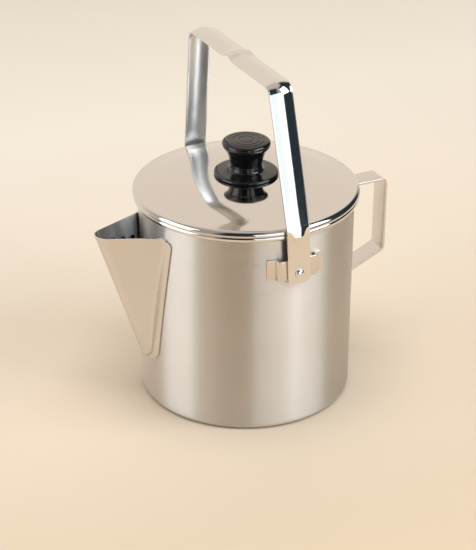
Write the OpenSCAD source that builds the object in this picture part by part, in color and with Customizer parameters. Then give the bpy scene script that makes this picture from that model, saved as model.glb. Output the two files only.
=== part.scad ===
// Coffee percolator for camping: a stainless pot with a welded spout, a side handle
// and a swinging bail, a lift-off lid, and a pump stem that carries a coffee basket.
// Units are millimetres. +Z is up and the origin is on the pot's axis at its base.
// The spout points to -X, the side handle to +X, and the bail's pivots lie on Y.

/* [Pot] */
// Outer radius of the pot's wall
body_r = 70; // [68:0.5:76]
// Height of the pot from its base to the top of the rolled rim
body_h = 140; // [136:0.5:150]
// Thickness of the pot's sheet
wall = 0.9; // [0.7:0.1:1.2]
// Radius of the rounded corner between the wall and the base
base_corner = 4.5; // [3:0.5:6]
// Section radius of the rolled rim
bead_r = 2.1; // [1.8:0.1:2.2]

/* [Spout] */
// Distance from the pot's axis to the tip of the spout
spout_reach = 105; // [98:0.5:112]
// Height of the spout's pouring edge
spout_top = 127; // [120:0.5:129]
// Height at which the spout's keel runs into the pot
spout_low = 38; // [32:1:46]
// Radius of the rounded tip, seen from above
spout_tip_r = 8.5; // [6:0.5:10]
// Half of the angle that the spout covers on the pot
spout_half_angle = 19; // [16:0.5:21]
// Radius of the strainer holes behind the spout
strainer_hole_r = 1.7; // [1:0.1:2.2]

/* [Side handle] */
// Distance from the pot's axis to the outside of the grip
handle_reach = 101.5; // [94:0.5:108]
// Width of the handle's strap
handle_w = 15; // [12:0.5:18]
// Thickness of the handle's strap
handle_t = 1.6; // [1.2:0.1:2]
// Height of the handle's upper arm
handle_top = 130.5; // [126:0.5:131]
// Height of the grip's lower bend
handle_low = 77; // [70:0.5:86]
// Height at which the lower arm meets the pot
handle_root = 64; // [54:0.5:68]

/* [Bail] */
// Width of the bail's strap
bail_w = 15.5; // [14:0.5:17]
// Thickness of the bail's strap
bail_t = 1.4; // [1.2:0.1:1.6]
// Height of the two pivots
pivot_z = 113; // [108:0.5:114]
// Height of the top of the bail's strap when it stands up
bail_top = 231.5; // [215:0.5:245]
// Half of the bail's width at its top corners
bail_top_half = 57; // [52:0.5:60]
// Lean of the resting bail towards the spout, in degrees
bail_tilt = 3; // [0:0.5:4]
// Height of the hanging bump in the middle of the bail
hump_h = 2; // [1:0.5:4]

/* [Lid] */
// Rise of the lid's dome above its rolled edge
dome_rise = 6.2; // [5:0.1:7]
// Depth of the lid's locating ring below the pot's rim
ring_depth = 6.5; // [4:0.5:7]

/* [Knob] */
// Radius of the knob's lower guard disc
guard_r = 20.8; // [18:0.1:23]
// Radius of the knob's top
knob_r = 15.65; // [13.5:0.05:17]
// Radius of the knob's waist
waist_r = 10.15; // [9:0.05:11]

/* [Pump and basket] */
// Outer radius of the pump's tube
stem_r = 5; // [4.5:0.1:5.2]
// Outer radius of the coffee basket
basket_r = 52; // [46:0.5:56]
// Height of the coffee basket's wall
basket_h = 52; // [40:1:54]
// Radius of the small holes in the basket and its spreader
perf_r = 1.1; // [0.8:0.1:1.4]

/* [Hidden] */
$fa = 3;
$fs = 0.6;
gap = 0.05;
inner_r = body_r - wall;
floor_z = 1;
bead_x = body_r + bead_r / 2 - 0.05;
bead_z = body_h - bead_r;

// spout
spout_t = 0.8;
spout_root_x = body_r * cos(spout_half_angle) - 2;
spout_root_y = body_r * sin(spout_half_angle);
spout_keel_r = 4.5;
flange_low_r = 15;
flange_low_z = spout_low + 8.8;
flange_top_y = spout_root_y + 4.6;
row_pitch = 8;
hole_pitch = 6.5;
hole_top_z = spout_top - 15;

// bail, brackets and rivets
plate_t = 1.2;
seat_y = body_r + 3.9;
tab_in = seat_y + 0.3;
tab_out = tab_in + bail_t;
bend_z = body_h + 2;
bend_y = tab_out + 0.7;
bail_low = pivot_z - 6.8;
bail_corner_r = 8;
hump_half = 9;
rib_z = pivot_z + 21;
shank_r = 2;
lean = atan2(bend_y - bail_top_half, bail_top - bend_z);
bracket_low = pivot_z - 4;
bracket_h = 13.5;
wing_angle = 15.7;

// lid
edge_x = body_r - 4;
edge_z = body_h + 4;
roll_r = 2.4;
roll_x = body_r + 0.9;
roll_z = body_h + 0.3;
lid_t = 0.8;
dome_flat = 22;
apex_z = edge_z + dome_rise;
ring_r = inner_r - 0.75;

// knob
knob_z = apex_z + gap;
screw_r = 2.2;
insert_r = 3.2;
insert_l = 11;

// pump and basket
stem_top = body_h;
stem_bore = stem_r - 0.8;
collar_z = 68;
collar_h = 3;
basket_z = collar_z + collar_h + gap;
basket_t = 0.7;
sleeve_in = stem_r + 0.5;
sleeve_out = sleeve_in + 0.8;
spreader_z = basket_z + basket_h + 0.6;

// Points on an arc, from angle a to angle b in n steps.
function arc(cx, cy, r, a, b, n) =
    [for (i = [0:n]) let (t = a + (b - a) * i / n) [cx + r * cos(t), cy + r * sin(t)]];

// A line's points in the opposite order.
function reversed(p) = [for (i = [len(p) - 1:-1:0]) p[i]];

// ---- pot ----

module pot_profile() {
    polygon(concat(
        [[0, 0]],
        arc(body_r - base_corner, base_corner, base_corner, -90, 0, 8),
        [[body_r, bead_z], [inner_r, bead_z]],
        arc(body_r - base_corner, base_corner + 0.1, base_corner - wall, 0, -90, 8),
        [[0, floor_z]]));
}

// Half width of the spout's inside at height z.
function spout_half(z) =
    spout_keel_r + (spout_root_y - spout_keel_r) * (z - spout_low) / (spout_top - spout_low);

module strainer_holes() {
    for (i = [0:5]) {
        z = hole_top_z - i * row_pitch;
        m = floor((spout_half(z) - 3.5) / hole_pitch);
        for (j = [-m:m])
            translate([-body_r, j * hole_pitch, z])
                rotate([0, 90, 0])
                    cylinder(r = strainer_hole_r, h = 16, center = true);
    }
}

module pot_body() {
    color("#b9b2a6")
        difference() {
            union() {
                rotate_extrude() pot_profile();
                rotate_extrude() translate([bead_x, bead_z]) circle(r = bead_r);
            }
            strainer_holes();
        }
}

// ---- spout ----

// Solid of the spout, with its faces moved inwards by inset.
module spout_block(inset, top) {
    tip_x = spout_reach - spout_tip_r;
    hull() {
        translate([-tip_x, 0, spout_top])
            cylinder(r = spout_tip_r - inset, h = top);
        for (s = [-1, 1])
            translate([-spout_root_x, s * (spout_root_y - inset), spout_top])
                cylinder(r = 0.2, h = top);
        translate([-body_r - 1, 0, spout_low])
            sphere(r = spout_keel_r - inset);
        translate([-spout_root_x, 0, spout_low])
            sphere(r = spout_keel_r - inset);
    }
}

module spout_flange() {
    rotate([90, 0, -90])
        linear_extrude(height = body_r + 6) {
            translate([0, flange_low_z]) circle(r = flange_low_r);
            polygon([[-flange_low_r * 0.99, flange_low_z + 1], [flange_low_r * 0.99, flange_low_z + 1],
                     [flange_top_y, spout_top - 5], [flange_top_y - 3.4, spout_top - 1.4],
                     [3.4 - flange_top_y, spout_top - 1.4], [-flange_top_y, spout_top - 5]]);
        }
}

module spout() {
    color("#b9b2a6")
        difference() {
            union() {
                spout_block(0, 0.2);
                intersection() {
                    spout_flange();
                    cylinder(r = body_r + 0.9, h = body_h);
                }
            }
            spout_block(spout_t, 4);
            translate([0, 0, -1]) cylinder(r = body_r + gap, h = body_h + 2);
        }
}

// ---- side handle ----

module side_handle() {
    x0 = body_r + gap;
    x1 = handle_reach;
    z0 = handle_root;
    drop = handle_t * 1.1;
    color("#bdb6aa")
        rotate([90, 0, 0])
            linear_extrude(height = handle_w, center = true)
                polygon([
                    [x0, z0 - 13], [x0 + handle_t, z0 - 13], [x0 + handle_t, z0],
                    [x1 - 1, handle_low - 1.2], [x1, handle_low + 0.6],
                    [x1, handle_top - 4], [x1 - 1.2, handle_top - 1.2], [x1 - 4, handle_top],
                    [x0, handle_top],
                    [x0, z0 + 13], [x0 + handle_t, z0 + 13],
                    [x0 + handle_t, handle_top - handle_t], [x1 - 4.6, handle_top - handle_t],
                    [x1 - handle_t - 0.7, handle_top - handle_t - 0.7],
                    [x1 - handle_t, handle_top - 4.6], [x1 - handle_t, handle_low + drop],
                    [x0 + handle_t - 0.6, z0 + drop], [x0, z0 + 1]]);
}

// ---- bail ----

// Outer line of the bail's half arch, moved inwards by d. Pairs are [y, z].
function arch_half(d) = let (
        c = cos(lean), s = sin(lean),
        cy = bail_top_half - bail_corner_r * (1 - s) / c,
        cz = bail_top - bail_corner_r)
    concat(
        [[tab_out - d, bail_low], [bend_y - d, bend_z - 3], [bend_y - d * c - 0.5, bend_z + 3]],
        arc(cy, cz, bail_corner_r - d, lean, 90, 6),
        [for (y = [hump_half:-1.5:0]) [y, bail_top - d + hump_h / 2 * (1 + cos(180 * y / hump_half))]]);

// The other half of a line, in the order that carries it on.
function mirrored(p) = [for (q = reversed(p)) [-q[0], q[1]]];

// The strip between the outer line moved by a and by b.
module arch_strip(a, b, width) {
    outer = arch_half(a);
    inner = arch_half(b);
    rotate([90, 0, 90])
        linear_extrude(height = width, center = true)
            polygon(concat(outer, mirrored(outer), reversed(mirrored(inner)), reversed(inner)));
}

// Crown pressed along the bail, in steps, ending in a tongue above each pivot.
module bail_rib() {
    difference() {
        union() {
            arch_strip(-0.6, 0.2, 13.4);
            arch_strip(-1.2, 0.2, 10.2);
            arch_strip(-1.7, 0.2, 6.4);
        }
        translate([-20, -100, 0]) cube([40, 200, rib_z]);
    }
}

// Cuts the lower corners of the two tabs.
module tab_corners() {
    cut = 3;
    for (s = [-1, 1])
        translate([s * bail_w / 2, 0, bail_low])
            rotate([0, 45, 0])
                cube([cut, 2 * body_r + 40, cut], center = true);
}

module bail_handle() {
    color("#c9c9c6")
        translate([0, 0, pivot_z])
            rotate([0, -bail_tilt, 0])
                translate([0, 0, -pivot_z])
                    difference() {
                        union() {
                            arch_strip(0, bail_t, bail_w);
                            bail_rib();
                        }
                        tab_corners();
                        translate([0, 0, pivot_z])
                            rotate([90, 0, 0])
                                cylinder(r = shank_r + 0.08, h = 2 * body_r + 40, center = true);
                    }
}

// ---- brackets and rivets, drawn on the -Y side ----

// Half of the bracket's outline from its wing's end to the raised middle, at side s.
// The wing lies on radius r down to the angle foot, then the plate rises to (x, y).
function bracket_line(s, r, foot, x, y) =
    concat([for (t = [wing_angle:-1.4:foot + 0.5]) [s * r * sin(t), -r * cos(t)]],
           [[s * r * sin(foot), -r * cos(foot)], [s * x, -y]]);

module bracket() {
    near_r = body_r + gap;
    far_r = near_r + plate_t;
    difference() {
        translate([0, 0, bracket_low])
            linear_extrude(height = bracket_h)
                polygon(concat(
                    bracket_line(-1, far_r, 11.5, 13.4, seat_y),
                    reversed(bracket_line(1, far_r, 11.5, 13.4, seat_y)),
                    bracket_line(1, near_r, 10.7, 12.4, seat_y - plate_t),
                    reversed(bracket_line(-1, near_r, 10.7, 12.4, seat_y - plate_t))));
        translate([0, 0, pivot_z])
            rotate([90, 0, 0])
                cylinder(r = shank_r + 0.03, h = 2 * body_r);
    }
}

module rivet() {
    head_r = 3.1;
    head_h = 1.9;
    cap_r = (head_r * head_r + head_h * head_h) / (2 * head_h);
    head_y = tab_out + 0.25;
    tail_y = seat_y - plate_t - gap;
    translate([0, 0, pivot_z])
        rotate([90, 0, 0]) {
            translate([0, 0, tail_y - 0.2]) cylinder(r = shank_r, h = head_y - tail_y + 0.4);
            translate([0, 0, tail_y - 0.9]) cylinder(r = 3, h = 0.9);
            intersection() {
                translate([0, 0, head_y + head_h - cap_r]) sphere(r = cap_r);
                translate([0, 0, head_y]) cylinder(r = head_r + 1, h = head_h + 1);
            }
        }
}

module bail_bracket_front() {
    color("#bdb6aa") bracket();
}

module bail_bracket_rear() {
    color("#bdb6aa") rotate([0, 0, 180]) bracket();
}

module bail_rivet_front() {
    color("#d2d0cc") rivet();
}

module bail_rivet_rear() {
    color("#d2d0cc") rotate([0, 0, 180]) rivet();
}

// ---- lid ----

function dome_z(r) = edge_z + dome_rise * (1 - pow((r - dome_flat) / (edge_x - dome_flat), 2.1));

module lid() {
    step = (edge_x - dome_flat) / 10;
    dome = [for (i = [1:10]) let (r = dome_flat + i * step) [r, dome_z(r)]];
    under = [for (p = reversed(dome)) [p[0] - 0.2, p[1] - lid_t]];
    color("#cdc4b6")
        rotate_extrude()
            polygon(concat(
                [[screw_r + 0.1, apex_z], [dome_flat, apex_z]],
                dome,
                arc(roll_x, roll_z, roll_r, 90, 0, 8),
                [[roll_x + roll_r - 0.3, body_h + gap], [body_r - 0.8, body_h + gap],
                 [body_r - 1.2, edge_z - 1.6]],
                under,
                [[dome_flat, apex_z - lid_t], [screw_r + 0.1, apex_z - lid_t]]));
}

module lid_ring() {
    color("#b9b2a6")
        rotate_extrude()
            polygon([[ring_r, body_h - ring_depth + 0.6], [ring_r, body_h + 2.3],
                     [ring_r - 0.8, body_h + 2.3], [ring_r - 0.8, body_h - ring_depth],
                     [ring_r - 0.5, body_h - ring_depth]]);
}

// ---- knob ----

module lid_knob() {
    w = waist_r;
    k = knob_r - waist_r;
    color("#141414")
        translate([0, 0, knob_z])
            rotate_extrude()
                polygon([
                    [insert_r + 0.02, 0], [guard_r - 0.9, 0], [guard_r - 0.2, 0.4], [guard_r, 1],
                    [guard_r - 0.3, 1.7], [guard_r - 1.2, 2.3], [guard_r - 3, 2.5], [w + 2.2, 2.9],
                    [w + 0.6, 3.6], [w, 4.6], [w, 6.9], [w - 0.35, 7.2], [w + 0.05, 7.5],
                    [w + 0.1 * k, 9], [w + 0.15 * k, 10.5], [w + 0.26 * k, 12.8], [w + 0.46 * k, 15.6],
                    [w + 0.64 * k, 17.2], [w + 0.81 * k, 18.4], [w + 0.94 * k, 19.6], [w + k, 21.1],
                    [w + 0.96 * k, 22.1], [w + 0.82 * k, 22.9], [w + 0.55 * k, 23.3],
                    [w + 0.3 * k, 23.4], [w + 0.2 * k, 23.1], [w - 0.1 * k, 23.1], [w - 0.2 * k, 23.5],
                    [0, 23.7], [0, insert_l + 1], [insert_r + 0.02, insert_l + 1]]);
}

module knob_insert() {
    color("#b08d4a")
        translate([0, 0, knob_z + 0.3])
            difference() {
                cylinder(r = insert_r, h = insert_l);
                translate([0, 0, -1]) cylinder(r = screw_r + 0.03, h = insert_l + 2);
            }
}

module knob_screw() {
    head_z = apex_z - lid_t - 1.1;
    color("#c4c2bd") {
        difference() {
            union() {
                translate([0, 0, head_z - 0.1]) cylinder(r = screw_r, h = 10);
                translate([0, 0, head_z - 1.5]) cylinder(r1 = 3.4, r2 = 4.1, h = 1.5);
            }
            translate([0, 0, head_z - 1.5]) cube([6, 0.9, 1.4], center = true);
        }
    }
}

module knob_washer() {
    color("#c4c2bd")
        translate([0, 0, apex_z - lid_t - gap - 1])
            difference() {
                cylinder(r = 9, h = 1);
                translate([0, 0, -1]) cylinder(r = screw_r + 0.15, h = 3);
            }
}

// ---- pump ----

module stem_foot() {
    z = floor_z + gap;
    color("#b9b2a6")
        rotate_extrude()
            polygon([
                [stem_r + 0.02, z + 17], [stem_r + 0.02, z + 8.6], [27.5, z + 0.9], [28, z],
                [31, z], [31, z + 0.9], [28.6, z + 1.4], [stem_r + 1.4, z + 9.8], [stem_r + 1, z + 17]]);
}

module stem_tube() {
    low = floor_z + 9.5;
    color("#c4c2bd")
        translate([0, 0, low])
            difference() {
                cylinder(r = stem_r, h = stem_top - low);
                translate([0, 0, -1]) cylinder(r = stem_bore, h = stem_top);
            }
}

module stem_collar() {
    color("#b9b2a6")
        translate([0, 0, collar_z])
            difference() {
                cylinder(r = stem_r + 3, h = collar_h);
                translate([0, 0, -1]) cylinder(r = stem_r + 0.02, h = collar_h + 2);
            }
}

// ---- basket ----

// Rings of small holes: n0 in the first ring and step more in each next one.
module perforations(r0, pitch, rings, n0, step) {
    for (k = [0:rings - 1]) {
        n = n0 + k * step;
        for (i = [0:n - 1])
            rotate([0, 0, 360 * i / n])
                translate([r0 + k * pitch, 0, 0])
                    cylinder(r = perf_r, h = 6, center = true);
    }
}

module filter_basket() {
    color("#aaa69e")
        translate([0, 0, basket_z])
            difference() {
                rotate_extrude()
                    polygon([
                        [sleeve_out + 0.02, 0.5], [basket_r - 2.5, 0.5], [basket_r, 3],
                        [basket_r, basket_h - 1], [basket_r + 1.8, basket_h - 0.8],
                        [basket_r + 1.8, basket_h],
                        [basket_r - basket_t, basket_h], [basket_r - basket_t, 3.3],
                        [basket_r - 2.8, 1.2], [sleeve_out + 0.02, 1.2]]);
                perforations(14, 8, 4, 8, 8);
            }
}

module basket_sleeve() {
    color("#b9b2a6")
        translate([0, 0, basket_z])
            difference() {
                cylinder(r = sleeve_out, h = basket_h - 1);
                translate([0, 0, -1]) cylinder(r = sleeve_in, h = basket_h + 2);
                translate([0, 0, basket_h - 2]) cylinder(r1 = sleeve_in, r2 = sleeve_in + 0.5, h = 1.5);
            }
}

module basket_spreader() {
    r = basket_r - basket_t - 0.6;
    color("#b3aea4")
        translate([0, 0, spreader_z])
            difference() {
                rotate_extrude()
                    polygon([
                        [sleeve_in, 1.6], [sleeve_in + 3, 1.6], [sleeve_in + 5, 0], [r - 0.7, 0],
                        [r - 0.7, -4], [r, -4], [r, -0.5], [basket_r + 1.4, -0.5],
                        [basket_r + 1.4, 0.2], [r, 0.7],
                        [sleeve_in + 5.4, 0.7], [sleeve_in + 3.3, 2.3], [sleeve_in, 2.3]]);
                perforations(15, 8, 4, 8, 8);
            }
}

pot_body();
spout();
side_handle();
bail_bracket_front();
bail_bracket_rear();
bail_rivet_front();
bail_rivet_rear();
bail_handle();
lid();
lid_ring();
lid_knob();
knob_insert();
knob_screw();
knob_washer();
stem_foot();
stem_tube();
stem_collar();
filter_basket();
basket_sleeve();
basket_spreader();
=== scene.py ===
"""Looks of a camping coffee percolator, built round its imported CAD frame."""
import math

import bmesh
import bpy
from mathutils import Matrix, Vector


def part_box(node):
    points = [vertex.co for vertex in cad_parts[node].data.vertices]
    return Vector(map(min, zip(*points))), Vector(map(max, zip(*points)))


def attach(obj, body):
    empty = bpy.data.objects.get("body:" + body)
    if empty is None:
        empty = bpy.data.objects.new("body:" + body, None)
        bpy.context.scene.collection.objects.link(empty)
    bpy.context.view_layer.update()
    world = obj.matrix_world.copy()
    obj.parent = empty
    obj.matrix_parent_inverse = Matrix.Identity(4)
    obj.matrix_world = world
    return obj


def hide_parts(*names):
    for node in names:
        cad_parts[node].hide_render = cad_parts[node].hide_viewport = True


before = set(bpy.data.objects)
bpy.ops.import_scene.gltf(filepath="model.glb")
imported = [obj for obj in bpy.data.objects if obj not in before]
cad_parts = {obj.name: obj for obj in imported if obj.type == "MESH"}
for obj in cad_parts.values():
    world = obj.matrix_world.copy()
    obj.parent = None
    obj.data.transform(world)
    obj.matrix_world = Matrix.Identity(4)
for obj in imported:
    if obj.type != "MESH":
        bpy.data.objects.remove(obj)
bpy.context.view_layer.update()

# Sizes in millimetres. The pot stands on the floor at the origin, its spout towards -X.
MM = 0.001
SIDES = 160
BODY_R = 70.0
INNER_R = 69.1
BODY_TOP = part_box("pot_body")[1].z / MM
BEAD_R = 2.1
BEAD_X = BODY_R + 1.0
BEAD_Z = BODY_TOP - BEAD_R
APEX_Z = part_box("lid")[1].z / MM
PIVOT_Z = 113.0
# Left between the pot's wall and each sheet that is fixed on it.
GAP = 0.05


# ---- making pieces ----

def arc(x, z, r, start, end, steps):
    """Points on an arc from angle start to angle end, in degrees."""
    turns = [math.radians(start + (end - start) * i / steps) for i in range(steps + 1)]
    return [(x + r * math.cos(t), z + r * math.sin(t)) for t in turns]


def rounded(corners, radii, steps=8):
    """A bent line: corners joined by straights, each inner corner turned with its radius."""
    line = [Vector(corners[0])]
    for before, corner, after, r in zip(corners, corners[1:], corners[2:], radii):
        corner = Vector(corner)
        back = (Vector(before) - corner).normalized()
        on = (Vector(after) - corner).normalized()
        half = back.angle(on) / 2
        middle = corner + (back + on).normalized() * (r / math.sin(half))
        first = corner + back * (r / math.tan(half)) - middle
        last = corner + on * (r / math.tan(half)) - middle
        for i in range(steps + 1):
            line.append(middle + first.slerp(last, i / steps).normalized() * r)
    line.append(Vector(corners[-1]))
    return line


def spread(line, step):
    """The line with points added, so that none is further than step from the next."""
    out = [line[0]]
    for a, b in zip(line, line[1:]):
        parts = max(1, math.ceil((b - a).length / step))
        out += [a.lerp(b, i / parts) for i in range(1, parts + 1)]
    return out


def curve_through(points, steps):
    """A smooth line through the points."""
    ends = [points[0]] + list(points) + [points[-1]]
    line = []
    for a, b, c, d in zip(ends, ends[1:], ends[2:], ends[3:]):
        for i in range(steps):
            t = i / steps
            line.append(tuple(
                0.5 * (2 * q + (r - p) * t + (2 * p - 5 * q + 4 * r - s) * t * t
                       + (3 * q - p - 3 * r + s) * t ** 3)
                for p, q, r, s in zip(a, b, c, d)))
    return line + [tuple(points[-1])]


def begin(name):
    """Names the new primitive and opens it for editing with everything selected."""
    piece = bpy.context.object
    piece.name = name
    piece.data.name = name
    bpy.ops.object.transform_apply(location=True, rotation=True, scale=True)
    bpy.ops.object.mode_set(mode="EDIT")
    bpy.ops.mesh.select_all(action="SELECT")
    return piece


def pick(piece, test):
    """Selects the vertices whose place, in millimetres, passes test."""
    mesh = bmesh.from_edit_mesh(piece.data)
    bpy.ops.mesh.select_all(action="DESELECT")
    for v in mesh.verts:
        v.select = test(v.co / MM)
    mesh.select_flush(True)
    bmesh.update_edit_mesh(piece.data)


def finish_modifier(piece, kind, **settings):
    """Adds one modifier with its settings and applies it."""
    modifier = piece.modifiers.new(kind.lower(), kind)
    for key, value in settings.items():
        setattr(modifier, key, value)
    bpy.context.view_layer.objects.active = piece
    bpy.ops.object.modifier_apply(modifier=modifier.name)


def smooth(piece, angle=32):
    bpy.ops.object.select_all(action="DESELECT")
    piece.select_set(True)
    bpy.context.view_layer.objects.active = piece
    bpy.ops.object.shade_smooth_by_angle(angle=math.radians(angle))


def on_ring(r, z):
    return lambda c: abs(c.z - z) < 0.004 and abs(math.hypot(c.x, c.y) - r) < 0.004


def close_pole(piece, ring, height):
    """Draws the open ring together at a point on the axis."""
    pick(piece, on_ring(*ring))
    lift = (0, 0, (height - ring[1]) * MM)
    bpy.ops.mesh.extrude_edges_move(TRANSFORM_OT_translate={"value": lift})
    bpy.ops.mesh.merge(type="CENTER")


def turned(name, profile, ring=False, sides=SIDES):
    """A round piece on the Z axis. A circle is pulled along the profile of (radius, height)
    pairs. A profile that starts or ends on the axis is closed there, and a ring on itself."""
    rings = [p for p in profile if p[0] > 0]
    r, z = rings[0]
    bpy.ops.object.select_all(action="DESELECT")
    bpy.ops.mesh.primitive_circle_add(vertices=sides, radius=r * MM, location=(0, 0, z * MM))
    piece = begin(name)
    for next_r, next_z in rings[1:]:
        bpy.ops.mesh.extrude_edges_move(
            TRANSFORM_OT_translate={"value": (0, 0, (next_z - z) * MM)})
        bpy.ops.transform.resize(value=(next_r / r, next_r / r, 1),
                                 center_override=(0, 0, next_z * MM))
        r, z = next_r, next_z
    if ring:
        first, last = on_ring(*rings[0]), on_ring(*rings[-1])
        pick(piece, lambda c: first(c) or last(c))
        bpy.ops.mesh.bridge_edge_loops()
    if profile[0][0] == 0:
        close_pole(piece, rings[0], profile[0][1])
    if profile[-1][0] == 0:
        close_pole(piece, rings[-1], profile[-1][1])
    bpy.ops.mesh.select_all(action="SELECT")
    bpy.ops.mesh.normals_make_consistent(inside=False)
    bpy.ops.object.mode_set(mode="OBJECT")
    smooth(piece)
    return piece


def sheet_grid(name, columns, rows, place):
    """A sheet of columns by rows whose points lie where place(column, row) says."""
    bpy.ops.object.select_all(action="DESELECT")
    bpy.ops.mesh.primitive_grid_add(x_subdivisions=columns - 1, y_subdivisions=rows - 1, size=1)
    piece = begin(name)
    mesh = bmesh.from_edit_mesh(piece.data)
    mesh.verts.ensure_lookup_table()
    for n, v in enumerate(mesh.verts):
        v.co = Vector(place(n % columns, n // columns)) * MM
    bmesh.update_edit_mesh(piece.data)
    bpy.ops.mesh.remove_doubles(threshold=0.01 * MM)
    return piece


def bent_strap(name, path, across, width, thickness, corner):
    """A strap bent along the path of points, with its width along the direction across."""
    bpy.ops.object.select_all(action="DESELECT")
    bpy.ops.mesh.primitive_plane_add(size=1)
    piece = begin(name)
    pick(piece, lambda c: c.x > 0)
    bpy.ops.mesh.delete(type="VERT")
    mesh = bmesh.from_edit_mesh(piece.data)
    for v, side in zip(mesh.verts, (-0.5, 0.5)):
        v.co = (path[0] + across * (width * side)) * MM
    bmesh.update_edit_mesh(piece.data)
    bpy.ops.mesh.select_all(action="SELECT")
    for a, b in zip(path, path[1:]):
        bpy.ops.mesh.extrude_edges_move(TRANSFORM_OT_translate={"value": (b - a) * MM})
    ends = [(p + across * (width * side)) for p in (path[0], path[-1]) for side in (-0.5, 0.5)]
    pick(piece, lambda c: any((c - e).length < 0.01 for e in ends))
    bpy.ops.mesh.bevel(offset=corner * MM, segments=5, affect="VERTICES")
    bpy.ops.object.mode_set(mode="OBJECT")
    finish_modifier(piece, "SOLIDIFY", thickness=thickness * MM, offset=0, use_even_offset=True)
    finish_modifier(piece, "BEVEL", width=0.32 * MM, segments=3, angle_limit=math.radians(50))
    smooth(piece)
    return piece


# ---- materials ----

def material(name):
    """A new node material, with its nodes, its links and its main shader."""
    made = bpy.data.materials.new(name)
    made.use_nodes = True
    tree = made.node_tree
    return made, tree.nodes, tree.links, tree.nodes["Principled BSDF"]


def noise(nodes, links, vector, scale, detail, distortion=0.0):
    made = nodes.new("ShaderNodeTexNoise")
    made.inputs["Scale"].default_value = scale
    made.inputs["Detail"].default_value = detail
    made.inputs["Distortion"].default_value = distortion
    links.new(vector, made.inputs["Vector"])
    return made.outputs["Fac"]


def span(nodes, links, value, low, high, from_low=0.3, from_high=0.7):
    """The value, stretched from one span to another."""
    made = nodes.new("ShaderNodeMapRange")
    made.inputs["From Min"].default_value = from_low
    made.inputs["From Max"].default_value = from_high
    made.inputs["To Min"].default_value = low
    made.inputs["To Max"].default_value = high
    links.new(value, made.inputs["Value"])
    return made.outputs["Result"]


def add(nodes, links, a, b):
    made = nodes.new("ShaderNodeMath")
    made.operation = "ADD"
    links.new(a, made.inputs[0])
    links.new(b, made.inputs[1])
    return made.outputs[0]


def mixed(nodes, links, factor, first, second):
    """One colour running into another."""
    made = nodes.new("ShaderNodeMix")
    made.data_type = "RGBA"
    links.new(factor, made.inputs[0])
    made.inputs[6].default_value = (*first, 1)
    made.inputs[7].default_value = (*second, 1)
    return made.outputs[2]


def scaled(nodes, links, vector, scale):
    made = nodes.new("ShaderNodeMapping")
    made.inputs["Scale"].default_value = scale
    links.new(vector, made.inputs["Vector"])
    return made.outputs["Vector"]


def ring_lines(nodes, links, vector, fine):
    """Coordinates whose lines run in rings round the Z axis."""
    flat = scaled(nodes, links, vector, (1, 1, 0))
    length = nodes.new("ShaderNodeVectorMath")
    length.operation = "LENGTH"
    links.new(flat, length.inputs[0])
    parts = nodes.new("ShaderNodeSeparateXYZ")
    links.new(vector, parts.inputs[0])
    made = nodes.new("ShaderNodeCombineXYZ")
    links.new(length.outputs["Value"], made.inputs["X"])
    links.new(parts.outputs["X"], made.inputs["Y"])
    links.new(parts.outputs["Z"], made.inputs["Z"])
    return scaled(nodes, links, made.outputs[0], (fine, 9, fine))


def steel(name, tone, shade, rough, spread_of_rough, lines, bump=0.04, along=0.0, radial=False):
    """Stainless steel: polishing lines, soft clouds, hand marks and a few hairlines."""
    made, nodes, links, shader = material(name)
    place = nodes.new("ShaderNodeTexCoord").outputs["Object"]
    if lines == "rings":
        grain_at = ring_lines(nodes, links, place, 1500)
    else:
        grain_at = scaled(nodes, links, place, lines)
    grain = noise(nodes, links, grain_at, 1.0, 4)
    clouds = noise(nodes, links, place, 26.0, 4, 0.6)
    marks = noise(nodes, links, place, 110.0, 6, 1.6)
    hair_at = scaled(nodes, links, place, (90, 140, 900))
    hair = span(nodes, links, noise(nodes, links, hair_at, 1.0, 2, 0.4), 0, 0.12, 0.68, 0.74)
    rough_grain = span(nodes, links, grain, rough - spread_of_rough, rough + spread_of_rough)
    rough_marks = span(nodes, links, marks, 0, spread_of_rough, 0.5, 0.75)
    total = add(nodes, links, rough_grain, add(nodes, links, rough_marks, hair))
    links.new(total, shader.inputs["Roughness"])
    links.new(mixed(nodes, links, clouds, tone, shade), shader.inputs["Base Color"])
    lift = nodes.new("ShaderNodeBump")
    lift.inputs["Strength"].default_value = bump
    lift.inputs["Distance"].default_value = 0.00006
    links.new(grain, lift.inputs["Height"])
    links.new(lift.outputs["Normal"], shader.inputs["Normal"])
    shader.inputs["Metallic"].default_value = 1.0
    shader.inputs["Anisotropic"].default_value = along
    if radial:
        shader.inputs["Anisotropic Rotation"].default_value = 0.25
        tangent = nodes.new("ShaderNodeTangent")
        tangent.direction_type = "RADIAL"
        tangent.axis = "Z"
        links.new(tangent.outputs[0], shader.inputs["Tangent"])
    return made


def glossy_plastic(name, tone, shade):
    """Black moulded phenolic: a deep gloss with faint flow marks and fine dust scuffs."""
    made, nodes, links, shader = material(name)
    shader.inputs["IOR"].default_value = 1.55
    place = nodes.new("ShaderNodeTexCoord").outputs["Object"]
    flow = noise(nodes, links, place, 120.0, 4, 1.2)
    scuff_at = scaled(nodes, links, place, (700, 160, 500))
    scuff = noise(nodes, links, scuff_at, 1.0, 5)
    links.new(mixed(nodes, links, flow, tone, shade), shader.inputs["Base Color"])
    rough = add(nodes, links, span(nodes, links, flow, 0.05, 0.08),
                span(nodes, links, scuff, 0, 0.10, 0.60, 0.8))
    links.new(rough, shader.inputs["Roughness"])
    lift = nodes.new("ShaderNodeBump")
    lift.inputs["Strength"].default_value = 0.02
    lift.inputs["Distance"].default_value = 0.0001
    links.new(flow, lift.inputs["Height"])
    links.new(lift.outputs["Normal"], shader.inputs["Normal"])
    return made


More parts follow.
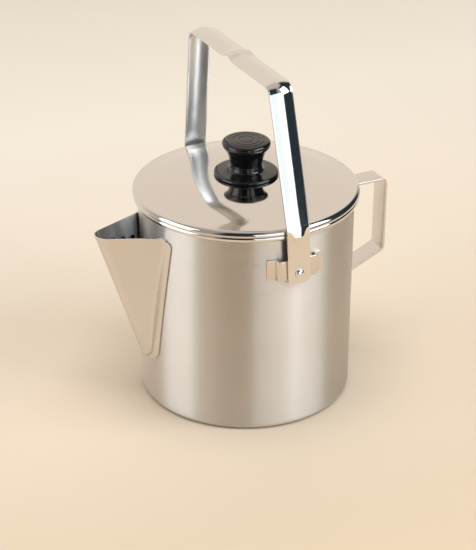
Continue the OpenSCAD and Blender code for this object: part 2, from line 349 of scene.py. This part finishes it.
STEEL = (0.74, 0.71, 0.68)
STEEL_WARM = (0.69, 0.65, 0.61)
satin = steel("satin_steel", STEEL, STEEL_WARM, 0.38, 0.02, (7, 7, 1500), 0.03, 0.96, True)
pressed = steel("pressed_steel", STEEL, STEEL_WARM, 0.17, 0.03, (30, 30, 1400), 0.03)
polished = steel("polished_steel", (0.80, 0.79, 0.78), STEEL, 0.06, 0.015, (1500, 40, 40), 0.02)
dull = steel("dull_steel", (0.74, 0.74, 0.74), (0.66, 0.65, 0.64), 0.40, 0.06, (1200, 60, 60), 0.10)
# Steel for the spout's inner face. Its blue cast is a painted reflection of cool light; the steel
# itself has no such tint.
spout_inside_painted_reflection = steel("spout_inside_painted_reflection", (0.66, 0.71, 0.75), STEEL, 0.12, 0.03, (40, 40, 1200), 0.04)
lid_steel = steel("lid_steel", STEEL, (0.72, 0.69, 0.66), 0.075, 0.015, "rings", 0.015)
inner_steel = steel("inner_steel", (0.68, 0.66, 0.64), STEEL_WARM, 0.26, 0.05, (60, 60, 900), 0.08)
plain_steel = steel("plain_steel", (0.62, 0.61, 0.60), STEEL_WARM, 0.30, 0.05, "rings", 0.08)
brass = steel("brass", (0.72, 0.52, 0.24), (0.62, 0.43, 0.18), 0.24, 0.05, "rings", 0.06)
phenolic = glossy_plastic("black_phenolic", (0.004, 0.004, 0.005), (0.007, 0.007, 0.008))


def dress(piece, body, slot, node, *finishes):
    """Gives a finished piece its materials, the body it rides on and the CAD node it stands for."""
    if finishes:
        piece.data.materials.clear()
    for finish in finishes:
        piece.data.materials.append(finish)
    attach(piece, body)
    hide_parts(node)


# ---- pot ----

FLOOR_Z = 1.0
CORNER = 4.5
SPOUT_TOP = 127.0
SPOUT_LOW = 38.0
KEEL_R = 4.5
SPOUT_HALF_ANGLE = math.radians(19)
ROOT_X = BODY_R * math.cos(SPOUT_HALF_ANGLE) - 2
ROOT_Y = BODY_R * math.sin(SPOUT_HALF_ANGLE)
HOLE_R = 1.7
HOLE_ROWS, HOLE_TOP_Z = 6, SPOUT_TOP - 15
HOLE_STEP_Y, HOLE_STEP_Z = 6.5, 8
HOLE_MARGIN = 3.5


def strainer_drills():
    """One piece with a drill for each strainer hole behind the spout. The rows of holes get
    shorter downwards, as the spout does."""
    drills = []
    for row in range(HOLE_ROWS):
        z = HOLE_TOP_Z - row * HOLE_STEP_Z
        half = KEEL_R + (ROOT_Y - KEEL_R) * (z - SPOUT_LOW) / (SPOUT_TOP - SPOUT_LOW)
        count = math.floor((half - HOLE_MARGIN) / HOLE_STEP_Y)
        for n in range(-count, count + 1):
            bpy.ops.mesh.primitive_cylinder_add(
                vertices=24, radius=HOLE_R * MM, depth=16 * MM,
                location=(-BODY_R * MM, n * HOLE_STEP_Y * MM, z * MM), rotation=(0, math.pi / 2, 0))
            drills.append(bpy.context.object)
    for drill in drills:
        drill.select_set(True)
    bpy.ops.object.join()
    return bpy.context.object


def make_pot():
    bead_start, bead_end, bright_below = -118.4, 154.8, 1.9
    low = [(0, 0), (BODY_R - CORNER - 6, 0)]
    wall = [(BODY_R, z) for z in range(8, 136, 8)]
    inside = [(INNER_R, z) for z in range(132, 6, -8)]
    profile = (low + arc(BODY_R - CORNER, CORNER, CORNER, -90, 0, 10) + wall
               + arc(BEAD_X, BEAD_Z, BEAD_R, bead_start, bead_end, 26) + inside
               + arc(BODY_R - CORNER, CORNER + 0.1, CORNER - 0.9, 0, -90, 8) + [(0, FLOOR_Z)])
    pot = turned("pot_shell", profile, sides=192)
    bpy.ops.object.select_all(action="DESELECT")
    drills = strainer_drills()
    finish_modifier(pot, "BOOLEAN", object=drills, operation="DIFFERENCE", solver="EXACT")
    bpy.data.objects.remove(drills)
    smooth(pot, 30)
    dress(pot, "pot", "steel_satin", "pot_body", satin, polished)
    for face in pot.data.polygons:
        if face.center.z > (BEAD_Z - bright_below) * MM:
            face.material_index = 1


make_pot()


# ---- spout ----

TIP_R = 8.5
TIP_X = -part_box("spout")[0].x / MM - TIP_R
SHEET = 0.8
FACE_R = BODY_R + GAP + SHEET
FLANGE_R = 15.0
FLANGE_Z = SPOUT_LOW + 8.8
FLANGE_TOP_Y = ROOT_Y + 4.6
FLANGE_CORNER_R = 3.6
FLANGE_CORNER_H = 5.0
BEND_LENGTH = 2.4
# Faces along one section of the half spout, on its prow, side, bend and flange.
PROW, SIDE, BEND, FLANGE = 8, 12, 6, 5
# Depths of the sections below the spout's top, close together beside the flange's corner.
DEPTHS = [0, 0.35, 0.8, 1.4, 2.1, 2.9, 3.9, FLANGE_CORNER_H] + [7 + 2 * n for n in range(41)]
DEPTHS.append(SPOUT_TOP - SPOUT_LOW)
HEIGHTS, TURNS = len(DEPTHS) - 1, 10


def on_wall(y, z):
    """A point of the flange's outer face, on the pot's wall."""
    return Vector((-math.sqrt(FACE_R * FACE_R - y * y), y, z))


def where_it_meets_the_wall(start, end):
    """The point of a straight line, seen from above, that lies on the flange's outer face."""
    low, high = 0.0, 1.0
    for _ in range(30):
        middle = (low + high) / 2
        if start.lerp(end, middle).length > FACE_R:
            low = middle
        else:
            high = middle
    return start.lerp(end, low)


def flange_rim(z):
    """The flange's edge beside height z as (y, z), with a rounded upper corner."""
    corner_z = SPOUT_TOP - FLANGE_CORNER_H
    if z > corner_z:
        angle = math.radians(90) * (z - corner_z) / FLANGE_CORNER_H
        return (FLANGE_TOP_Y - FLANGE_CORNER_R * (1 - math.cos(angle)),
                corner_z + FLANGE_CORNER_R * math.sin(angle))
    if z > FLANGE_Z:
        share = (z - FLANGE_Z) / (corner_z - FLANGE_Z)
        return FLANGE_R + (FLANGE_TOP_Y - FLANGE_R) * share, z
    return math.sqrt(FLANGE_R ** 2 - (z - FLANGE_Z) ** 2), z


def spout_row(row):
    """One section of the half spout: prow, side, bend and flange. Upper rows are level, and
    the last ones turn round the keel."""
    if row <= HEIGHTS:
        z = SPOUT_TOP - DEPTHS[row]
        share = (z - SPOUT_LOW) / (SPOUT_TOP - SPOUT_LOW)
        lean = 0.0
    else:
        share = 0.0
        lean = math.radians(90) * (row - HEIGHTS) / TURNS
        z = SPOUT_LOW
    prow_x = TIP_X * share + (BODY_R + 1) * (1 - share)
    prow_r = TIP_R * share + KEEL_R * (1 - share)
    root_half = ROOT_Y * share + KEEL_R * (1 - share)
    reach = prow_x - ROOT_X
    tilt = math.asin((root_half - prow_r) / math.hypot(reach, root_half - prow_r))
    steps = [math.radians(180) - (math.radians(90) - tilt) * i / PROW for i in range(PROW + 1)]
    line = [Vector((-prow_x + prow_r * math.cos(t), prow_r * math.sin(t))) for t in steps]
    start, end = line[-1], Vector((-ROOT_X, root_half))
    corner = where_it_meets_the_wall(start, end)
    soft = min(BEND_LENGTH, (start - corner).length * 0.8)
    before = corner + (start - end).normalized() * soft
    line += [start.lerp(before, i / SIDE) for i in range(1, SIDE + 1)]
    placed = [Vector((p.x, p.y * math.cos(lean), z - p.y * math.sin(lean)))
              for p in line + [corner]]
    foot = placed.pop()
    if row <= HEIGHTS:
        rim = Vector((0, *flange_rim(z)))
    else:
        base = math.asin((SPOUT_LOW - FLANGE_Z) / FLANGE_R)
        angle = base + (math.radians(-90) - base) * (row - HEIGHTS) / TURNS
        rim = Vector((0, FLANGE_R * math.cos(angle), FLANGE_Z + FLANGE_R * math.sin(angle)))
    out = Vector((0, rim.y - foot.y, rim.z - foot.z))
    near = soft / max(out.length, soft * 1.05)
    last = on_wall(foot.y + out.y * near, foot.z + out.z * near)
    start = placed[-1]
    for i in range(1, BEND + 1):
        t = i / BEND
        placed.append(start.lerp(foot, t).lerp(foot.lerp(last, t), t))
    for i in range(1, FLANGE + 1):
        t = near + (1 - near) * i / FLANGE
        placed.append(on_wall(foot.y + out.y * t, foot.z + out.z * t))
    return placed


def make_spout():
    rows = [spout_row(n) for n in range(HEIGHTS + TURNS + 1)]
    piece = sheet_grid("spout_shell", len(rows[0]), len(rows), lambda c, r: rows[r][c])
    bpy.ops.mesh.select_all(action="SELECT")
    bpy.ops.mesh.normals_make_consistent(inside=False)
    bpy.ops.object.mode_set(mode="OBJECT")
    if sum(f.normal.x * f.area for f in piece.data.polygons) > 0:
        piece.data.flip_normals()
    finish_modifier(piece, "MIRROR", use_axis=(False, True, False), use_clip=True,
                    merge_threshold=0.00002)
    piece.data.materials.append(pressed)
    piece.data.materials.append(spout_inside_painted_reflection)
    # The inner shell gets the second material, the steel whose blue cast is a painted reflection.
    finish_modifier(piece, "SOLIDIFY", thickness=SHEET * MM, offset=-1, material_offset=1)
    finish_modifier(piece, "BEVEL", width=0.22 * MM, segments=3, angle_limit=math.radians(55))
    smooth(piece, 35)
    dress(piece, "pot", "steel_satin", "spout")


make_spout()


# ---- side handle ----

def make_side_handle():
    low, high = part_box("side_handle")
    t = 1.6
    wall_x = BODY_R + GAP + t / 2
    reach = high.x / MM - t / 2
    top = high.z / MM - t / 2
    bottom = low.z / MM
    upper_foot, grip_low, root = 77, 77.9, 64.4
    corners = [(wall_x, upper_foot), (wall_x, top), (reach, top), (reach, grip_low),
               (wall_x, root), (wall_x, bottom)]
    bend_radii = (1.6, 4.2, 3.2, 2.4)
    line = rounded(corners, bend_radii)
    path = [Vector((p[0], 0, p[1])) for p in line]
    piece = bent_strap("handle_strap", path, Vector((0, 1, 0)), 15, t, 2.2)
    dress(piece, "pot", "steel_satin", "side_handle", pressed)


make_side_handle()


# ---- brackets and rivets ----

def make_bracket(name, side, node):
    """A strap laid on the wall at both ends and lifted in the middle. Side is -1 or 1."""
    t = 1.2
    low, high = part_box(node)
    middle_z = (low.z + high.z) / 2 / MM
    lift = BODY_R + 3.9 - t / 2
    wing_start, wing_end, rise_y = 15.7, 11.1, 12.9
    on_pot = BODY_R + GAP + t / 2
    wing = [Vector((y, x)) for x, y in arc(0, 0, on_pot, wing_start, wing_end, 4)]
    rise = rounded([wing[-2], wing[-1], (rise_y, lift), (0, lift)], (0.9, 1.3), 5)
    half = wing[:-1] + rise[1:-1]
    line = half + [Vector((-p.x, p.y)) for p in reversed(half)]
    path = [Vector((p.x * side, p.y * side, middle_z)) for p in line]
    piece = bent_strap(name, path, Vector((0, 0, 1)), 13.5, t, 0.9)
    dress(piece, "pot", "steel_satin", node, pressed)


def make_rivet(name, side, node):
    """A domed rivet head outside the tab, its shank and its flat tail."""
    head_y, tail_y = 75.85, 72.65
    shank_r, tail_r, head_r = 2.0, 3.0, 3.08
    lip_h, dome_h = 0.12, 1.75
    profile = [(0, tail_y - 0.9), (tail_r - 0.3, tail_y - 0.9), (tail_r, tail_y - 0.6),
               (tail_r, tail_y - 0.05), (shank_r, tail_y), (shank_r, head_y - 0.05),
               (head_r - 0.18, head_y)]
    for n in range(10):
        t = math.radians(9 * n)
        profile.append((head_r * math.cos(t), head_y + lip_h + dome_h * math.sin(t)))
    profile.append((0, head_y + lip_h + dome_h))
    piece = turned(name, profile, sides=48)
    bpy.ops.object.mode_set(mode="EDIT")
    bpy.ops.mesh.select_all(action="SELECT")
    bpy.ops.transform.rotate(value=math.radians(90) * side, orient_axis="X",
                             center_override=(0, 0, 0))
    bpy.ops.transform.translate(value=(0, 0, PIVOT_Z * MM))
    bpy.ops.object.mode_set(mode="OBJECT")
    dress(piece, "pot", "steel_polished", node, polished)


make_bracket("bracket_front", -1, "bail_bracket_front")
make_bracket("bracket_rear", 1, "bail_bracket_rear")
make_rivet("rivet_front", -1, "bail_rivet_front")
make_rivet("rivet_rear", 1, "bail_rivet_rear")


# ---- bail ----

TAB_OUT = 75.6
TAB_LOW = 106.2
TAB_CORNER_R = 2.6
BEND_Y, BEND_Z = 76.35, 142.0
BAIL_TOP, BAIL_TOP_HALF = 231.5, 57.0
BAIL_T = 1.4
BAIL_TILT = math.radians(3)
BAIL_HALF_W = 7.75
HUMP_HALF, HUMP_H = 9.0, 2.0
CROWN_HALF, CROWN_H = 6.9, 1.65
CROWN_END, CROWN_LOW_H = 134.0, 0.75
TOE_L = 5.2
# Where the strap starts to bend, and how the crown runs above and below that place.
BEND_START_Y, BEND_START_Z = 75.7, BEND_Z + 3
CROWN_RISE_L = 22
TOE_LEAN = 0.25
ACROSS = 33


def bail_line():
    """Outer line of half the bail, from its tab's end to the middle of its top, as (y, z)."""
    corners = [(TAB_OUT, TAB_LOW), (BEND_Y, BEND_Z), (BAIL_TOP_HALF, BAIL_TOP),
               (HUMP_HALF, BAIL_TOP)]
    line = spread(rounded(corners, (26, 8), 12), 1.0)
    rise = [HUMP_HALF * (1 - n / 12) for n in range(1, 13)]
    line += [Vector((y, BAIL_TOP + HUMP_H / 2 * (1 + math.cos(math.pi * y / HUMP_HALF))))
             for y in rise]
    return line


def crown_height(y, z):
    """Height of the pressed crown over the strap's line. It gets lower towards the bend and
    runs straight on below it."""
    above = z - BEND_START_Z
    if above > 0:
        return min(CROWN_H, CROWN_LOW_H + (CROWN_H - CROWN_LOW_H) * above / CROWN_RISE_L)
    return min(CROWN_H, CROWN_LOW_H + BEND_START_Y - above * TOE_LEAN - y)


def make_bail():
    line = bail_line()
    run = [0.0]
    for a, b in zip(line, line[1:]):
        run.append(run[-1] + (b - a).length)
    outward = []
    for n in range(len(line)):
        along = (line[min(n + 1, len(line) - 1)] - line[max(n - 1, 0)]).normalized()
        outward.append(Vector((along.y, -along.x)))
    outward[-1] = Vector((0, 1))

    def place(column, row):
        half = BAIL_HALF_W
        if run[row] < TAB_CORNER_R:
            half -= TAB_CORNER_R - math.sqrt(TAB_CORNER_R ** 2 - (TAB_CORNER_R - run[row]) ** 2)
        x = half * (2 * column / (ACROSS - 1) - 1)
        short = max(0.0, (CROWN_END + TOE_L - line[row].y) / TOE_L)
        off = min(1.0, math.hypot(x / CROWN_HALF, short))
        height = crown_height(*line[row]) * math.cos(math.pi / 2 * off)
        p = line[row] + outward[row] * height
        up = p.y - PIVOT_Z
        return (x * math.cos(BAIL_TILT) - up * math.sin(BAIL_TILT), -p.x,
                PIVOT_Z + up * math.cos(BAIL_TILT) + x * math.sin(BAIL_TILT))

    piece = sheet_grid("bail_strap", ACROSS, len(line), place)
    bpy.ops.object.mode_set(mode="OBJECT")
    if sum(f.normal.y * f.area for f in piece.data.polygons) > 0:
        piece.data.flip_normals()
    piece.data.materials.append(polished)
    piece.data.materials.append(dull)
    finish_modifier(piece, "MIRROR", use_axis=(False, True, False), use_clip=True,
                    merge_threshold=0.00002)
    finish_modifier(piece, "SOLIDIFY", thickness=BAIL_T * MM, offset=-1, use_even_offset=True,
                    material_offset=1)
    finish_modifier(piece, "BEVEL", width=0.3 * MM, segments=3, angle_limit=math.radians(50))
    smooth(piece, 40)
    dress(piece, "bail", "steel_polished", "bail_handle")


make_bail()


# ---- lid ----

def make_lid():
    edge_x, edge_z, flat, t = 66.0, 144.0, 22.0, 0.8
    hole_r = 2.35
    seat_z = BODY_TOP + 0.06

    def dome(r):
        return edge_z + (APEX_Z - edge_z) * (1 - max(0.0, (r - flat) / (edge_x - flat)) ** 2.1)

    radii = [hole_r, 8, 15, flat] + [flat + 4 * n for n in range(1, 12)]
    top = [(r, dome(r)) for r in radii]
    roll = arc(BODY_R + 0.1, BODY_TOP + 0.3, 3.2, 80, -4, 16)
    foot = [(73.0, seat_z), (69.4, seat_z), (69.0, BODY_TOP + 0.9), (68.8, BODY_TOP + 2.3)]
    under = [(r - 0.2, dome(r) - t) for r in reversed(radii[1:])] + [(hole_r, APEX_Z - t)]
    lid = turned("lid_shell", top + roll + foot + under, ring=True, sides=192)
    dress(lid, "lid", "steel_lid", "lid", lid_steel)


def make_knob():
    """The knob: a guard disc, a waist with a groove, a flared grip and a ringed top."""
    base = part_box("lid_knob")[0].z / MM
    waist, top_r, guard = 10.15, 15.65, 20.8
    bore_r, bore_h = 3.22, 12.0
    k = top_r - waist
    disc = arc(guard - 1.05, 1.15, 1.05, -80, 75, 9)
    rise = curve_through([(guard - 2.2, 2.42), (waist + 5, 2.62), (waist + 2.1, 3.0),
                          (waist + 0.7, 3.75), (waist + 0.1, 5.1), (waist, 6.7)], 4)
    groove = [(waist - 0.05, 7.0), (waist - 0.4, 7.2), (waist - 0.4, 7.35), (waist + 0.02, 7.55)]
    grip = curve_through([(waist + 0.03, 7.7), (waist + 0.15 * k, 10.5),
                          (waist + 0.26 * k, 12.8), (waist + 0.46 * k, 15.6),
                          (waist + 0.64 * k, 17.2), (waist + 0.81 * k, 18.4),
                          (waist + 0.94 * k, 19.6), (waist + 0.99 * k, 20.9),
                          (waist + 0.93 * k, 22.1), (waist + 0.78 * k, 22.85),
                          (waist + 0.55 * k, 23.2)], 4)
    rings = [(12.2, 23.4), (11.9, 23.2), (11.3, 23.2), (11.0, 23.45), (9.2, 23.52), (8.9, 23.3),
             (8.5, 23.3), (8.2, 23.55), (5.4, 23.6), (5.1, 23.4), (4.6, 23.4), (4.3, 23.62),
             (2.2, 23.66), (0, 23.68)]
    profile = [(0, bore_h), (bore_r, bore_h), (bore_r, 0.0), (guard - 2, 0.0)]
    profile += disc + rise + groove + grip + rings
    knob = turned("knob", [(r, base + z) for r, z in profile], sides=96)
    dress(knob, "lid", "phenolic_black", "lid_knob", phenolic)


make_lid()
make_knob()


# ---- CAD nodes that keep their own shape ----

FINISHES = {
    "lid_ring": inner_steel, "stem_foot": inner_steel, "stem_tube": inner_steel,
    "stem_collar": inner_steel, "filter_basket": inner_steel, "basket_sleeve": inner_steel,
    "basket_spreader": inner_steel, "knob_screw": plain_steel, "knob_washer": plain_steel,
    "knob_insert": brass,
}
for node, finish in FINISHES.items():
    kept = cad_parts[node]
    kept.data.materials.clear()
    kept.data.materials.append(finish)


# ---- floor, light and camera ----

def colour_stops(ramp, stops):
    """Fills a colour ramp from pairs of place and colour."""
    marks = ramp.color_ramp.elements
    while len(marks) < len(stops):
        marks.new(0.5)
    for mark, (place, tone) in zip(marks, stops):
        mark.position = place
        mark.color = (*tone, 1)


def make_floor():
    bpy.ops.object.select_all(action="DESELECT")
    bpy.ops.mesh.primitive_circle_add(vertices=96, radius=1.0, fill_type="NGON")
    floor = bpy.context.object
    floor.name = "floor"
    made, nodes, links, shader = material("floor_paper")
    place = nodes.new("ShaderNodeTexCoord").outputs["Object"]
    parts = nodes.new("ShaderNodeSeparateXYZ")
    links.new(place, parts.inputs[0])
    # The floor's tan is its own colour. Its darkening towards the front, on the camera's side, is
    # painted shade, and it pales behind. Small cloudy changes of tone lie on top.
    painted_front_shade = span(nodes, links, parts.outputs["Y"], 0, 1, -0.45, 0.45)
    clouds = span(nodes, links, noise(nodes, links, place, 3.0, 3), -0.03, 0.03)
    ramp = nodes.new("ShaderNodeValToRGB")
    links.new(add(nodes, links, painted_front_shade, clouds), ramp.inputs[0])
    colour_stops(ramp, [(0, (0.62, 0.46, 0.31)), (0.33, (0.60, 0.485, 0.36)),
                        (1, (0.76, 0.69, 0.60))])
    links.new(ramp.outputs["Color"], shader.inputs["Base Color"])
    shader.inputs["Roughness"].default_value = 0.75
    floor.data.materials.append(made)


CAMERA_AT = Vector((-451.9, -915.2, 608.4)) * MM
AIM = Vector((-4.38, 2.13, 76.45)) * MM
ROLL = math.radians(-0.32)
LENS = 114.0


def around(degrees, distance, height):
    """A place at an angle to the right of the camera's side, seen from above."""
    side = math.atan2(CAMERA_AT.y - AIM.y, CAMERA_AT.x - AIM.x) + math.radians(degrees)
    return Vector((distance * math.cos(side), distance * math.sin(side), height))


def soft_light(name, at, aim, width, height, power, tone):
    bpy.ops.object.light_add(type="AREA", location=at)
    lamp = bpy.context.object
    lamp.name = name
    lamp.data.shape = "RECTANGLE"
    lamp.data.size = width
    lamp.data.size_y = height
    lamp.data.energy = power
    lamp.data.color = tone
    lamp.rotation_euler = (Vector(aim) - at).to_track_quat("-Z", "Y").to_euler()


def make_world():
    """A room seen all round: a warm pale wall behind, darker sides, more dark in front and a
    grey ceiling. The camera itself sees a plain pale backdrop."""
    world = bpy.data.worlds.new("studio")
    bpy.context.scene.world = world
    world.use_nodes = True
    nodes, links = world.node_tree.nodes, world.node_tree.links
    parts = nodes.new("ShaderNodeSeparateXYZ")
    links.new(nodes.new("ShaderNodeTexCoord").outputs["Generated"], parts.inputs[0])
    turn = nodes.new("ShaderNodeMath")
    turn.operation = "ARCTAN2"
    links.new(parts.outputs["Y"], turn.inputs[0])
    links.new(parts.outputs["X"], turn.inputs[1])
    share = span(nodes, links, turn.outputs[0], 0, 1, -math.pi, math.pi)
    ramp = nodes.new("ShaderNodeValToRGB")
    links.new(share, ramp.inputs[0])
    wall, side, dark = (0.93, 0.82, 0.71), (0.42, 0.39, 0.36), (0.028, 0.040, 0.050)
    stops = [(-180, side), (-150, side), (-138, dark), (-98, dark), (-88, side), (-66, side),
             (-58, dark), (26, dark), (42, wall), (118, wall), (150, side), (180, side)]
    colour_stops(ramp, [((angle + 180) / 360, tone) for angle, tone in stops])
    room = mixed(nodes, links, span(nodes, links, parts.outputs["Z"], 0, 1, 0.86, 0.96), dark,
                 (0.62, 0.57, 0.52))
    links.new(ramp.outputs["Color"], room.node.inputs[6])
    seen = mixed(nodes, links, nodes.new("ShaderNodeLightPath").outputs["Is Camera Ray"], dark,
                 (0.86, 0.79, 0.70))
    links.new(room, seen.node.inputs[6])
    links.new(seen, nodes["Background"].inputs["Color"])


def make_camera():
    bpy.ops.object.camera_add(location=CAMERA_AT)
    camera = bpy.context.object
    ahead = (AIM - CAMERA_AT).normalized()
    turned_to = ahead.to_track_quat("-Z", "Y").to_matrix().to_4x4()
    spin = Matrix.Rotation(ROLL, 4, ahead)
    camera.matrix_world = Matrix.Translation(CAMERA_AT) @ spin @ turned_to
    camera.data.lens = LENS
    camera.data.sensor_width = 36
    camera.data.clip_end = 20
    bpy.context.scene.camera = camera


make_floor()
make_world()
DAYLIGHT = (0.87, 0.95, 1.0)
soft_light("right_card", around(32, 1.7, 0.38), (0, 0, 0.1), 1.5, 1.25, 7.8, DAYLIGHT)
soft_light("right_window", around(71, 1.7, 1.25), (0, 0, 0.1), 1.3, 1.4, 26, DAYLIGHT)
soft_light("left_window", around(-71, 1.8, 0.65), (0, 0, 0.1), 1.3, 1.5, 13.5, DAYLIGHT)
soft_light("top_fill", around(0, 0.25, 1.9), (0, 0, 0), 1.2, 1.2, 24, (1.0, 0.97, 0.93))
bpy.data.objects["top_fill"].visible_glossy = False
make_camera()
bpy.context.scene.view_settings.view_transform = "Standard"
